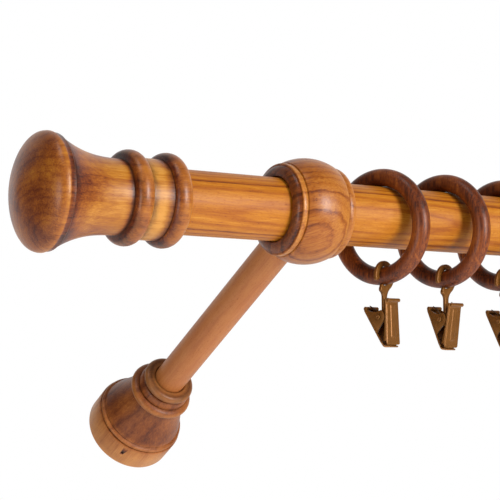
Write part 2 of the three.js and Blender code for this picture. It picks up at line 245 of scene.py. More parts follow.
def lathe(name, points, matrix, segments=96, tones=((0, 0.5),)):
    """Turns an outline about local X. tones gives the tone along the height, stain together with painted
    light and shade: 0 is dark and 1 light.
    """
    # Round the axis the outline meets its own other side, so its relief fades out there.
    fade_radius = 4
    closed = points[0] == points[-1]
    loop = points[:-1] if closed else points
    relief = relief_of(points)
    tone_heights, tone_values = zip(*tones)
    rings, vertices, relief_values, stain_and_shading = [], [], [], []
    for (radius, height), proud in zip(loop, relief):
        count = 1 if radius < 1e-6 else segments
        rings.append((len(vertices), count))
        vertices += circle_at(radius, height, count)
        relief_values += [proud * min(radius / fade_radius, 1)] * count
        # Each vertex keeps its tone, which is partly stain and partly painted light and shade.
        stain_and_shading += [float(np.interp(height, tone_heights, tone_values))] * count
    faces = []
    following = rings[1:] + rings[:1] if closed else rings[1:]
    for (a, a_count), (b, b_count) in zip(rings, following):
        for i in range(segments):
            j = (i + 1) % segments
            corners = [a + i % a_count, a + j % a_count, b + j % b_count, b + i % b_count]
            face = list(dict.fromkeys(corners))
            if len(face) > 2:
                faces.append(face)
    mesh = mesh_of(name, vertices, faces, {"relief": relief_values, "tone": stain_and_shading})
    return new_object(name, mesh, matrix)


def tube_faces(rows, around):
    """The faces of a body whose vertices stand in rows of one count, for mesh_of to turn outwards."""
    last = (rows - 1) * around
    faces = [list(range(around)), list(range(last, last + around))[::-1]]
    for first in range(0, last, around):
        second = first + around
        for i in range(around):
            j = (i + 1) % around
            faces.append([first + i, first + j, second + j, second + i])
    return faces


def round_mesh(rings, segments):
    """A closed body about local X through (height, radius) rings, for cutting holes."""
    vertices = [point for height, radius in rings for point in circle_at(radius, height, segments)]
    return mesh_of("cutter", vertices, tube_faces(len(rings), segments))


def rod_mesh(radius, low, high, segments):
    return round_mesh([(low, radius), (high, radius)], segments)


def keep_modifiers(target):
    """Keeps what the object's modifiers make as its mesh."""
    bpy.context.view_layer.update()
    evaluated = target.evaluated_get(bpy.context.evaluated_depsgraph_get())
    mesh = bpy.data.meshes.new_from_object(evaluated)
    target.modifiers.clear()
    target.data = mesh


def combine(target, other, operation):
    """Cuts the other object away from the target or welds it on, and removes the other."""
    step = target.modifiers.new("combine", "BOOLEAN")
    step.operation = operation
    step.solver = "EXACT"
    step.object = other
    keep_modifiers(target)
    bpy.data.objects.remove(other)


def cut(target, *cutters):
    """Cuts each (mesh, matrix) away from the object."""
    for mesh, matrix in cutters:
        tool = in_scene("cutter", mesh)
        tool.matrix_world = matrix
        combine(target, tool, "DIFFERENCE")
    target.data.set_sharp_from_angle(angle=math.radians(SHARP_ANGLE))


def joined(name, *parts):
    """Welds overlapping closed parts into one object."""
    first, *others = parts
    for other in others:
        combine(first, other, "UNION")
    first.name = name
    first.data.name = name
    smooth(first.data)
    return first


def rounded(target, width, segments=3, angle=30):
    """Rounds the object's edges that turn by more than an angle in degrees."""
    step = target.modifiers.new("round", "BEVEL")
    step.width = width * MM
    step.segments = segments
    step.limit_method = "ANGLE"
    step.angle_limit = math.radians(angle)
    keep_modifiers(target)
    smooth(target.data, 40)


def prism_mesh(name, outline, low, high, place):
    """Extrudes a closed 2-D outline from low to high. place(a, b, c) gives the local point."""
    vertices = [place(a, b, c) for c in (low, high) for a, b in outline]
    return mesh_of(name, vertices, tube_faces(2, len(outline)))


def plate(name, outline, low, high, place, matrix):
    return new_object(name, prism_mesh(name, outline, low, high, place), matrix)


def polar(radius, degrees):
    angle = math.radians(degrees)
    return radius * math.cos(angle), radius * math.sin(angle)


def circle_points(radius, first, last, steps):
    """Points on a circle about (0, 0) from one angle to another, in degrees."""
    return [polar(radius, first + (last - first) * i / steps) for i in range(steps + 1)]


def quadratic_points(start, control, end, steps):
    """Points on a curve that leaves start and reaches end along the lines through control."""

    def point(t):
        weights = ((1 - t) ** 2, 2 * t * (1 - t), t * t)
        return tuple(sum(w * c[k] for w, c in zip(weights, (start, control, end))) for k in (0, 1))

    return [point(i / steps) for i in range(1, steps + 1)]


def tube_along(name, path, radius, matrix, sides=10):
    """A round wire along a path, with closed ends."""
    points = [Vector(p) for p in path]
    vertices = []
    normal = (points[1] - points[0]).orthogonal()
    for i, point in enumerate(points):
        ahead = (points[min(i + 1, len(points) - 1)] - points[max(i - 1, 0)]).normalized()
        normal = (normal - ahead * normal.dot(ahead)).normalized()
        other = ahead.cross(normal)
        for k in range(sides):
            angle = 2 * math.pi * k / sides
            vertices.append(point + (normal * math.cos(angle) + other * math.sin(angle)) * radius)
    return new_object(name, mesh_of(name, vertices, tube_faces(len(points), sides)), matrix, 50)


# ---- materials


def linear(code):
    """A hex colour in linear light, with alpha 1."""
    channels = [int(code[i : i + 2], 16) / 255 for i in (0, 2, 4)]
    return (*[c / 12.92 if c <= 0.04045 else ((c + 0.055) / 1.055) ** 2.4 for c in channels], 1)


class Nodes:
    """Builds one material's node tree."""

    def __init__(self, name):
        self.material = bpy.data.materials.new(name)
        self.material.use_nodes = True
        self.tree = self.material.node_tree
        self.shader = self.tree.nodes["Principled BSDF"]

    def put(self, socket, value):
        if isinstance(value, bpy.types.NodeSocket):
            self.tree.links.new(value, socket)
        else:
            socket.default_value = value

    def add(self, kind, inputs=None, output=0, **settings):
        node = self.tree.nodes.new(kind)
        for key, value in settings.items():
            setattr(node, key, value)
        for key, value in (inputs or {}).items():
            self.put(node.inputs[key], value)
        return node.outputs[output]

    def math(self, operation, a, b=0.0, clamp=False):
        return self.add("ShaderNodeMath", {0: a, 1: b}, operation=operation, use_clamp=clamp)

    def centred(self, value, size):
        """A value between 0 and 1 as one about 0, times size."""
        return self.math("MULTIPLY", self.math("SUBTRACT", value, 0.5), size)

    def vector(self, operation, a, b):
        return self.add("ShaderNodeVectorMath", {0: a, 1: b}, operation=operation)

    def scaled(self, vector, scale):
        """A vector times a constant or, where scale is three numbers, times those."""
        by = scale if isinstance(scale, tuple) else (scale,) * 3
        return self.vector("MULTIPLY", vector, by)

    def noise(self, vector, scale, detail, roughness, output="Fac"):
        inputs = {"Vector": vector, "Scale": scale, "Detail": detail, "Roughness": roughness}
        return self.add("ShaderNodeTexNoise", inputs, output)

    def spread(self, value, low, high, to_low=0.0, to_high=1.0):
        """Eases a value from its low and high to new ones, and holds it there beyond them."""
        inputs = {"Value": value, 1: low, 2: high, 3: to_low, 4: to_high}
        return self.add("ShaderNodeMapRange", inputs, interpolation_type="SMOOTHSTEP")

    def ramp(self, value, *stops):
        """The colour at a value, from (position, colour) stops."""
        node = self.tree.nodes.new("ShaderNodeValToRGB")
        self.put(node.inputs[0], value)
        elements = node.color_ramp.elements
        while len(elements) < len(stops):
            elements.new(0.5)
        for element, (position, color) in zip(elements, stops):
            element.position = position
            element.color = color
        return node.outputs[0]

    def mix(self, factor, a, b):
        """A colour from a to b, by a factor from 0 to 1. The sockets are the mix node's colour ones."""
        return self.add("ShaderNodeMix", {0: factor, 6: a, 7: b}, 2, data_type="RGBA")

    def attribute(self, name):
        return self.add("ShaderNodeAttribute", output="Fac", attribute_name=name)

    def bump(self, height, strength, distance):
        """A normal tilted by a height, which stands for so many millimetres."""
        inputs = {"Height": height, "Strength": strength, "Distance": distance * MM}
        return self.add("ShaderNodeBump", inputs)


WORN_SHADE = "d08a45"
# The colour of the painted shade laid into the wood's hollows and grooves.
PAINTED_HOLLOW_SHADE = "3a1808"


def year_bands(n, grain, pith, spacing):
    """The dark late wood of each year's growth, from 0 to 1, with the years wavy and uneven."""
    sway = n.noise(n.scaled(grain, (0.25, 1, 1)), 0.035, 2, 0.5, "Color")
    sway = n.scaled(n.vector("SUBTRACT", sway, (0.5,) * 3), 7)
    swayed = n.scaled(n.vector("ADD", sway, grain), (0, 1, 1))
    across = n.vector("SUBTRACT", swayed, (0, *pith))
    out = n.add("ShaderNodeVectorMath", {0: across}, "Value", operation="LENGTH")
    uneven = n.noise(n.scaled(grain, (0.02, 1, 1)), 0.35, 2, 0.5)
    years = n.math("ADD", n.math("DIVIDE", out, spacing), n.math("MULTIPLY", uneven, 0.7))
    levels = ((0.0, 0.15), (0.45, 0.0), (0.86, 1.0), (1.0, 0.15))
    late = n.ramp(n.math("FRACT", years), *[(share, (level, level, level, 1)) for share, level in levels])
    chance = n.add("ShaderNodeTexWhiteNoise", {"W": n.math("FLOOR", years)}, "Value", noise_dimensions="1D")
    return n.math("MULTIPLY", late, n.spread(chance, 0.0, 1.0, 0.35, 1.0))


def wood(
    name, shades, pith, spacing, bands, fibres, flecks, blotches, worn,
    tilt=(0, 0, 0), roughness=0.45, coat=0.1, seed=0,
):
    """Stained and varnished wood, with its fibres along local X before tilt.

    shades are the hex colours from dark to light, pith is where the tree's middle passes in (y, z),
    and spacing is the width of a year's growth, all in millimetres. bands, fibres, flecks and
    blotches say how strongly the years, the fibres, the dark pores and the uneven stain show, and
    worn how far the edges are rubbed. seed moves the piece along the tree.
    """
    n = Nodes(name)
    place = n.add("ShaderNodeTexCoord", output="Object")
    mapping = {"Vector": place, "Location": (seed, 0, 0), "Rotation": tilt, "Scale": (1 / MM,) * 3}
    grain = n.add("ShaderNodeMapping", mapping)
    late = year_bands(n, grain, pith, spacing)
    fibre = n.noise(n.scaled(grain, (0.06, 1, 1)), 1.6, 4, 0.6)
    fleck = n.spread(n.noise(n.scaled(grain, (0.25, 1, 1)), 3.0, 2, 0.5), 0.54, 0.78)
    blotch = n.noise(n.scaled(grain, (0.5, 1, 1)), 0.07, 3, 0.6)

    # The tone carries the stain and, on turned pieces, painted light and shade as well.
    depth = n.math("ADD", n.attribute("tone"), n.centred(blotch, blotches * 2))
    depth = n.math("ADD", depth, n.centred(fibre, fibres))
    depth = n.math("SUBTRACT", depth, n.math("MULTIPLY", late, bands))
    depth = n.math("SUBTRACT", depth, n.math("MULTIPLY", fleck, flecks), clamp=True)
    stops = [(i / (len(shades) - 1), linear(shade)) for i, shade in enumerate(shades)]
    color = n.ramp(depth, *stops)

    ragged = n.centred(n.noise(grain, 0.6, 4, 0.6), 0.5)
    relief = n.math("ADD", n.attribute("relief"), ragged)
    lightened_edge = n.math("MULTIPLY", n.spread(relief, 0.25, 1.1), worn)
    color = n.mix(lightened_edge, color, linear(WORN_SHADE))
    # Painted shade: where the outline sinks below its average, in hollows and grooves, the wood is darkened.
    hollow_shade = n.math("MULTIPLY", n.spread(relief, -0.2, -0.9), 0.8)
    color = n.mix(hollow_shade, color, linear(PAINTED_HOLLOW_SHADE))

    n.put(n.shader.inputs["Base Color"], color)
    gloss = n.math("ADD", n.centred(fibre, 0.25), n.math("MULTIPLY", fleck, 0.12))
    n.put(n.shader.inputs["Roughness"], n.math("ADD", gloss, roughness, clamp=True))
    n.shader.inputs["Coat Weight"].default_value = coat
    n.shader.inputs["Coat Roughness"].default_value = 0.24
    n.shader.inputs["IOR"].default_value = 1.5
    n.shader.inputs["Specular IOR Level"].default_value = 0.28
    height = n.math("SUBTRACT", fibre, n.math("MULTIPLY", fleck, 0.6))
    n.put(n.shader.inputs["Normal"], n.bump(height, 0.6, 0.1))
    return n.material


def metal(name, shade, edge_wear_and_sheen_shade, metallic, roughness, speckle=0.3, coat=0.0):
    """Painted or plated metal with a fine speckle, and edges lighter: paint worn off there, and a painted
    highlight along them.
    """
    edge_wear_and_sheen_share, edge_width = 0.5, 0.25
    n = Nodes(name)
    place = n.add("ShaderNodeTexCoord", output="Object")
    grain = n.scaled(place, 1 / MM)
    fine = n.noise(grain, 3.5, 4, 0.65)
    broad = n.noise(grain, 0.35, 3, 0.5)
    depth = n.math("ADD", n.centred(fine, speckle), 0.5)
    depth = n.math("ADD", depth, n.centred(broad, 0.5), clamp=True)
    base = linear(shade)
    dark = (*[c * 0.6 for c in base[:3]], 1)
    light = (*[min(c * 1.35, 1) for c in base[:3]], 1)
    color = n.ramp(depth, (0.0, dark), (0.5, base), (1.0, light))
    # Lighter edges: partly worn paint, partly a painted highlight along the bends and rims.
    bevelled = n.add("ShaderNodeBevel", {"Radius": edge_width * MM}, "Normal", samples=4)
    true_normal = n.add("ShaderNodeNewGeometry", output="Normal")
    same = n.add("ShaderNodeVectorMath", {0: bevelled, 1: true_normal}, "Value", operation="DOT_PRODUCT")
    lightened_edge = n.math("MULTIPLY", n.spread(same, 0.995, 0.9), edge_wear_and_sheen_share)
    lightened_edge = n.math("MULTIPLY", lightened_edge, n.spread(fine, 0.35, 0.6))
    color = n.mix(lightened_edge, color, linear(edge_wear_and_sheen_shade))
    n.put(n.shader.inputs["Base Color"], color)
    n.shader.inputs["Metallic"].default_value = metallic
    n.shader.inputs["Coat Weight"].default_value = coat
    n.shader.inputs["Coat Roughness"].default_value = 0.2
    n.put(n.shader.inputs["Roughness"], n.math("ADD", n.centred(fine, 0.3), roughness, clamp=True))
    n.put(n.shader.inputs["Normal"], n.bump(fine, 0.25, 0.03))
    return n.material


POLE_WOOD = wood(
    "pole_varnish", ("461a02", "7a3a06", "9c540a", "b26c12", "c88a34"), pith=(38, 6), spacing=1.9,
    bands=0.62, fibres=0.7, flecks=0.25, blotches=0.12, worn=0, roughness=0.5,
)
FINIAL_WOOD = wood(
    "finial_varnish", ("341003", "642a0a", "8e4c14", "aa6a1e", "c48838"), pith=(-16, 20), spacing=3.2,
    bands=0.14, fibres=0.75, flecks=0.15, blotches=0.6, worn=0.6, roughness=0.38, coat=0.16, seed=40,
)
HOLDER_WOOD = wood(
    "holder_varnish", ("3e1604", "70340c", "985418", "b0702a", "c48a42"), pith=(-73.2, -35.6), spacing=3.6,
    bands=0.36, fibres=0.75, flecks=0.25, blotches=0.15, worn=0.5, tilt=(0.0, 0.35, 0.5),
    roughness=0.38, coat=0.16, seed=90,
)
ROSE_WOOD = wood(
    "rose_varnish", ("3c1605", "642e0c", "86481a", "a4642e", "b87a3e"), pith=(30, 24), spacing=6,
    bands=0.2, fibres=0.65, flecks=0.2, blotches=0.4, worn=0.35, seed=150,
)
ARM_WOOD = wood(
    "arm_varnish", ("7a3e1a", "925024", "a66230", "b2723c", "be824c"), pith=(24, 30), spacing=4.5,
    bands=0.12, fibres=0.5, flecks=0.35, blotches=0.25, worn=0, roughness=0.5, coat=0.12, seed=210,
)
RING_WOOD = wood(
    "ring_varnish", ("180803", "441904", "6e310a", "8e4a14", "ac6828"), pith=(18, 30), spacing=2.8,
    bands=0.05, fibres=1.1, flecks=0.5, blotches=0.6, worn=0, tilt=(0, 1.57, 0),
    roughness=0.46, coat=0.12, seed=300,
)
BRONZE = metal("bronze_paint", "80501a", "c09050", 0.55, 0.4, speckle=0.35, coat=0.15)
STEEL = metal("zinc_plate", "b4b4ae", "e2e2e0", 0.95, 0.32)
BLACKENED = metal("blackened_steel", "3c3028", "6a5c50", 0.8, 0.45)
SPRING = metal("spring_wire", "6a665f", "9a968e", 0.95, 0.3)


def dress(piece, material, slot, body, *nodes):
    """Finishes a piece: its material, its body and the CAD nodes it stands for. The slot argument is not
    used.
    """
    piece.data.materials.clear()
    piece.data.materials.append(material)
    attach(piece, body)
    if nodes:
        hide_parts(*nodes)


# ---- pole and finials


def make_pole():
    chamfer = 0.8
    half = POLE_LENGTH / 2
    outline = Outline(0, -half)
    outline.to((POLE_RADIUS - chamfer, -half), (POLE_RADIUS, -half + chamfer))
    outline.straight((POLE_RADIUS, half - chamfer), 40)
    outline.to((POLE_RADIUS - chamfer, half), (0, half))
    matrix = local_frame(POLE_MIDDLE, (1, 0, 0), (0, 1, 0))
    piece = lathe("pole_varnished", outline.points, matrix, tones=((0, 0.76),))
    dress(piece, POLE_WOOD, "pole_wood", "pole", "pole")


# The tone along each turned piece, as (height, tone), 0 dark and 1 light: partly the stain and its wear,
# partly painted light and shade, with painted highlights on the lit faces of the finial's beads, painted
# shade in the grooves, under the finial's rim and on the holder's mouth, and the rose's shaded band painted
# lighter.
FINIAL_TONES = (
    (0, 0.5), (2, 0.55), (5, 0.45), (8, 0.2), (10, 0.95), (18, 0.95),
    (20, 0.55), (23, 0.45), (26, 0.2), (30, 0.7), (46, 0.64), (53, 0.45),
    (57, 0.12), (59.2, 0.3), (60, 0.65), (60.9, 0.65), (61.6, 0.5), (71, 0.45),
)
ROSE_TONES = (
    (0, 1.0), (12, 1.0), (14, 0.6), (17, 0.6), (19, 0.42), (34, 0.42),
    (37, 0.3), (40, 0.4), (42, 0.45), (45, 0.4), (46, 0.22), (50, 0.12),
)
HOLDER_TONES = (
    (-17.6, 0.2), (-15.6, 0.22), (-15, 0.7), (-13, 0.75),
    (-12.3, 0.5), (-6, 0.6), (8, 0.72), (12, 0.6),
)


def make_finial(side):
    """Two beads, a neck, a flare with a stepped and worn rim, and the domed end."""
    tube, neck, rim, rim_low, rim_high, dome_top = 17.2, 16.0, 24.7, 59.4, 61.0, 71.8
    socket = 25
    outline = Outline(BORE, 0.5).to((BORE + 0.5, 0))
    outline.bead(tube, 0.4, 8, 3)
    outline.to((tube, 8.6), (tube, 13), (tube, 18.2))
    outline.bead(tube, 18.5, 7.8, 3)
    outline.to((neck, 26.6), (neck, 28.5))
    outline.bezier((neck, 38.5), (17.6, 46.5), (23.4, rim_low - 3), steps=30)
    outline.to((23.5, rim_low - 2.6), (23.9, rim_low - 2.4), (24.2, rim_low - 2.1), (24.4, rim_low - 0.3))
    outline.to((rim - 0.1, rim_low), (rim + 0.1, rim_low + 0.5), (rim + 0.1, rim_high - 0.5), (rim, rim_high))
    outline.bezier((24.2, 67), (6, dome_top), (0, dome_top), steps=34)
    outline.to((0, socket), (BORE, socket), (BORE, 0.5))
    node = f"finial_{side}"
    low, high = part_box(node)
    way, mouth = (-1, high.x) if side == "left" else (1, low.x)
    matrix = local_frame((mouth, POLE_MIDDLE.y, POLE_MIDDLE.z), (way, 0, 0), (0, 1, 0))
    piece = lathe(f"finial_turned_{side}", outline.points, matrix, tones=FINIAL_TONES)
    dress(piece, FINIAL_WOOD, "turned_wood", node, node)


# ---- brackets


def threaded(name, matrix, low, high, core, crest, pitch, tip):
    """A screw's shank about local X from the point at low to high, with a raised helical thread.

    core and crest are the radii under and on the thread, and tip is the tapered point's length.
    """
    around, per_turn = 20, 8
    ridge_half = 0.22
    rows = int((high - low) / pitch * per_turn)
    vertices = []
    for row in range(rows + 1):
        height = low + (high - low) * row / rows
        taper = min((height - low) / tip, 1.0)
        shown = taper if height < high else 0.0
        for i in range(around):
            turn = i / around
            phase = ((height / pitch - turn) % 1.0) - 0.5
            ridge = max(1 - abs(phase) / ridge_half, 0) * shown
            radius = max(core * taper, 0.12) + (crest - core) * ridge
            angle = 2 * math.pi * turn
            vertices.append((height, radius * math.cos(angle), radius * math.sin(angle)))
    return new_object(name, mesh_of(name, vertices, tube_faces(rows + 1, around)), matrix, 50)


def cross_recess(matrix, top, depth, reach, width):
    """Two crossed bars, as cutters for a screw's driving recess."""
    half = width / 2
    lying = [(-reach, -half), (reach, -half), (reach, half), (-reach, half)]
    standing = [(-z, y) for y, z in lying]
    bars = []
    for outline in (lying, standing):
        mesh = prism_mesh("cutter", outline, top - depth, top + 1, lambda y, z, x: (x, y, z))
        bars.append((mesh, matrix))
    return bars


def make_wall_cup(side, matrix):
    """The pressed cup that is screwed to the wall, with two countersunk holes."""
    radius, base, wall, height = 18.6, 2.6, 1.6, 12.0
    hole_offset, hole, sink = 10.5, 2.3, 4.15
    inside = radius - wall
    outline = Outline(0, 0).to((radius - 0.5, 0), (radius - 0.15, 0.15), (radius, 0.5))
    outline.to((radius, height - 0.4), (radius - 0.4, height), (inside + 0.3, height))
    outline.to((inside, height - 0.3), (inside, base + 1), (inside - 0.3, base + 0.3))
    outline.to((inside - 1, base), (0, base))
    piece = lathe(f"wall_cup_pressed_{side}", outline.points, matrix, 72)
    holes = []
    for way in (-1, 1):
        at = matrix @ Matrix.Translation((0, 0, way * hole_offset * MM))
        holes.append((rod_mesh(hole, -2, 6, 32), at))
        holes.append((round_mesh([(0.2, hole), (2.4, sink), (4.0, sink)], 32), at))
    cut(piece, *holes)
    dress(piece, STEEL, "steel", "brackets", f"wall_cup_{side}")


def make_rose(side, matrix, lock):
    """The wall base: a plain band, a bell and two beads, hollow for the cup and bored for the arm."""
    radius, band = 22.6, 14.2
    cup_depth, cup_room = 12.3, 19
    socket = ARM_RADIUS + GAP
    outline = Outline(0, cup_depth).to((cup_room, cup_depth), (cup_room, 0.4), (cup_room + 0.4, 0))
    outline.to((radius - 0.8, 0), (radius - 0.2, 0.3))
    outline.to((radius, 0.9), (radius, 7), (radius, band - 0.9), (radius - 0.15, band - 0.4))
    outline.to((radius - 0.6, band - 0.05), (radius - 1.3, band))
    outline.bead(radius - 1.8, band + 0.05, 2.1, 1.2, 10)
    outline.to((radius - 2.2, band + 2.3), (radius - 2.3, band + 2.6), (radius - 2.1, band + 3.0))
    outline.bezier((radius - 4.2, band + 9.5), (radius - 6.8, band + 14), (radius - 8.4, band + 21.8), 28)
    outline.bead(radius - 10, band + 22, 5, 3.4)
    outline.to((radius - 9.6, band + 27.2))
    outline.bezier((radius - 9.3, band + 28.6), (radius - 9.6, band + 30.4), (radius - 10.6, band + 31.2), 12)
    outline.bead(radius - 12, band + 31.5, ROSE_LENGTH - band - 31.5, 2.4)
    outline.to((socket + 0.5, ROSE_LENGTH), (socket, ROSE_LENGTH - 0.5))
    outline.to((socket, ROSE_SOCKET), (0, ROSE_SOCKET))
    piece = lathe(f"rose_turned_{side}", outline.points, matrix, tones=ROSE_TONES)
    cut(piece, (rod_mesh(0.8, 17, 25, 24), lock))
    dress(piece, ROSE_WOOD, "turned_wood", "brackets", f"rose_{side}")


def rose_lock_frame(side, matrix):
    """The rose locking screw's frame: at the bracket's axis, with its X out along the screw."""
    foot = Vector((ROSE_LOCK_HEIGHT * MM, 0, 0))
    out = matrix.to_3x3().inverted() @ (middle(f"rose_lock_screw_{side}") - matrix @ foot)
    turn = Vector((1, 0, 0)).rotation_difference(out).to_matrix().to_4x4()
    return matrix @ Matrix.Translation(foot) @ turn


def make_rose_lock(side, lock):
    """A headless screw with a hexagon socket, sunk just under the surface of the rose's band."""
    low, high, radius = 18.9, 22.3, 0.75
    socket, socket_depth = 0.35, 0.9
    outline = Outline(0, low).to((radius - 0.2, low), (radius, low + 0.2))
    outline.to((radius, high - 0.15), (radius - 0.15, high), (0, high))
    piece = lathe(f"rose_lock_{side}", outline.points, lock, 28)
    cut(piece, (rod_mesh(socket, high - socket_depth, high + 1, 6), lock))
    dress(piece, BLACKENED, "spring_steel", "brackets", f"rose_lock_screw_{side}")


def make_arm(side, matrix):
    low = ROSE_SOCKET + GAP
    high = HOLDER_SOCKET - GAP
    outline = Outline(0, low).to((ARM_RADIUS - 0.5, low), (ARM_RADIUS, low + 0.5))
    outline.straight((ARM_RADIUS, high - 0.5), 16)
    outline.to((ARM_RADIUS - 0.5, high), (0, high))
    piece = lathe(f"arm_turned_{side}", outline.points, matrix, 72, tones=((0, 0.6),))
    dress(piece, ARM_WOOD, "arm_wood", "brackets", f"arm_{side}")


def pole_lock_frame(matrix):
    """The pole locking screw's frame: at the pole's axis, square to the arm and to the pole."""
    square = Matrix.Rotation(math.radians(-90), 4, "Y")
    return matrix @ Matrix.Translation((ARM_REACH * MM, 0, 0)) @ square


def make_holder(side, matrix, along_pole):
    """A rounded mouth painted dark for shade, a worn ridge, the ball and a small flange, bored for the pole.
    """
    mouth, ball_low, ball_high, back = -17.6, -12.4, 8.2, 13.2
    outline = Outline(BORE, mouth + 0.6).to((BORE + 0.3, mouth + 0.15), (BORE + 0.9, mouth))
    outline.bezier((17.2, mouth + 0.1), (18.7, mouth + 0.8), (19.3, mouth + 2.1), 12)
    outline.bead(20.1, mouth + 2.3, 2.6, 0.4)
    outline.to((20.5, mouth + 5.0))
    outline.arc(BALL_CENTRE, BALL_RADIUS, ball_low, ball_high, 36)
    outline.to((20.3, ball_high + 0.15), (19.9, ball_high + 0.35))
    outline.bead(19.5, ball_high + 0.5, 4.1, 1.0)
    outline.to((18.9, back - 0.1), (18.4, back), (BORE + 0.4, back), (BORE, back - 0.4), (BORE, mouth + 0.6))
    piece = lathe(f"holder_turned_{side}", outline.points, along_pole, 128, HOLDER_TONES)
    lock = pole_lock_frame(matrix)
    arm_socket = rod_mesh(ARM_RADIUS + GAP, HOLDER_SOCKET - 20, HOLDER_SOCKET, 64)
    thread_hole = rod_mesh(1.9, POLE_RADIUS - 1, POLE_LOCK_SEAT, 24)
    head_hole = rod_mesh(3.4, POLE_LOCK_SEAT - 0.3, BALL_RADIUS + 2, 32)
    cut(piece, (arm_socket, matrix), (thread_hole, lock), (head_hole, lock))
    dress(piece, HOLDER_WOOD, "turned_wood", "brackets", f"holder_{side}")


def make_pole_lock(side, matrix):
    """The screw that holds the pole: a round head with a crossed recess, on a threaded shank."""
    place = pole_lock_frame(matrix)
    seat, top, head = POLE_LOCK_SEAT, BALL_RADIUS - 0.4, 3.1
    outline = Outline(0, seat - 1).to((1.6, seat - 1), (1.6, seat), (head - 0.2, seat), (head, seat + 0.2))
    outline.to((head, top - 0.5), (head - 0.2, top - 0.15), (head - 0.7, top), (0, top))
    crown = lathe("crown", outline.points, place, 40)
    cut(crown, *cross_recess(place, top, depth=0.9, reach=1.9, width=0.7))
    shank = threaded("shank", place, POLE_RADIUS + GAP, seat - 0.4, core=1.25, crest=1.6, pitch=0.9, tip=1.2)
    piece = joined(f"pole_lock_{side}", shank, crown)
    dress(piece, STEEL, "steel", "brackets", f"pole_lock_screw_{side}")


def make_dowel_screw(side, matrix):
    low, high = ROSE_SOCKET - 15, ROSE_SOCKET + 16
    name = f"dowel_screw_threaded_{side}"
    piece = threaded(name, matrix, low, high, core=2.3, crest=3.0, pitch=2.4, tip=4)
    dress(piece, STEEL, "steel", "brackets", f"dowel_screw_{side}")


def make_bracket(side):
    """One bracket, with local X along its arm from the wall to the pole."""
    mount = MOUNTS[f"wall_face_{side}"]
    arm_way = -Vector(mount["axis"])
    matrix = local_frame(mount["pos_m"], arm_way, (0, arm_way.z, -arm_way.y))
    pole_axis = matrix @ Vector((ARM_REACH * MM, 0, 0))
    mirror = 1 if side == "left" else -1
    along_pole = local_frame(pole_axis, (mirror, 0, 0), (0, 1, 0))
    lock = rose_lock_frame(side, matrix)
    make_wall_cup(side, matrix)
    make_rose(side, matrix, lock)
    make_rose_lock(side, lock)
    make_dowel_screw(side, matrix)
    make_arm(side, matrix)
    make_holder(side, matrix, along_pole)
    make_pole_lock(side, matrix)


# ---- rings and clips


def make_ring(number, matrix):
    around, section = 120, 36
    vertices, faces = [], []
    for i in range(around):
        turn = 2 * math.pi * i / around
        for j in range(section):
            roll = 2 * math.pi * j / section
            radius = RING_MAJOR + RING_TUBE * math.cos(roll)
            vertices.append((RING_TUBE * math.sin(roll), radius * math.cos(turn), radius * math.sin(turn)))
    for i in range(around):
        for j in range(section):
            a, b = i * section, (i + 1) % around * section
            k = (j + 1) % section
            faces.append([a + j, a + k, b + k, b + j])
    count = len(vertices)
    name = f"ring_turned_{number}"
    mesh = mesh_of(name, vertices, faces, {"tone": [0.5] * count, "relief": [0.0] * count})
    piece = new_object(name, mesh, matrix)
    dress(piece, RING_WOOD, "ring_wood", f"ring_{number}", f"ring_{number}")


def hook_outline():
    """The hook's flat outline: a curl round the ring's tube, and the shank down to the pin."""
    inner, outer, shank = 4.3, 6.9, 2.6
    tip, nub, shank_side = 197, 237, -58
    half = shank / 2
    end = 1.4 - PIVOT_DROP
    points = [polar(outer - 0.4, tip + 2)]
    points += circle_points(outer, tip, shank_side, 60)
    points += quadratic_points(points[-1], (half + 0.2, -outer - 0.6), (half, -outer - 3), 10)
    points += [(half, end), (-half, end), (-half, -outer - 2.4)]
    points += quadratic_points(points[-1], (-half - 0.3, -outer - 0.9), (-2.6, -outer - 0.3), 6)
    points += quadratic_points(points[-1], (-3.5, -outer + 0.2), (-3.2, -outer + 1.3), 6)[1:]
    points += circle_points(inner, nub - 360, tip, 60)
    return points


def make_hook(number, matrix):
    """The hook: stamped from sheet, with its shank's end rolled into a knuckle round the pin."""
    half = 0.75
    sheet = plate("sheet", hook_outline(), -half, half, lambda a, b, c: (a, c, b), matrix)
    rounded(sheet, 0.34)
    pin = matrix @ Matrix.Translation((0, 0, -PIVOT_DROP * MM))
    roll = Outline(PIN_HOLE, -1.2).to((1.9, -1.2), (2.1, -1.0), (2.1, 1.0), (1.9, 1.2))
    roll.to((PIN_HOLE, 1.2), (PIN_HOLE, -1.2))
    knuckle = lathe("knuckle", roll.points, pin, 40)
    piece = joined(f"hook_stamped_{number}", sheet, knuckle)
    dress(piece, BRONZE, "bronze_paint", f"hook_{number}", f"hook_{number}")


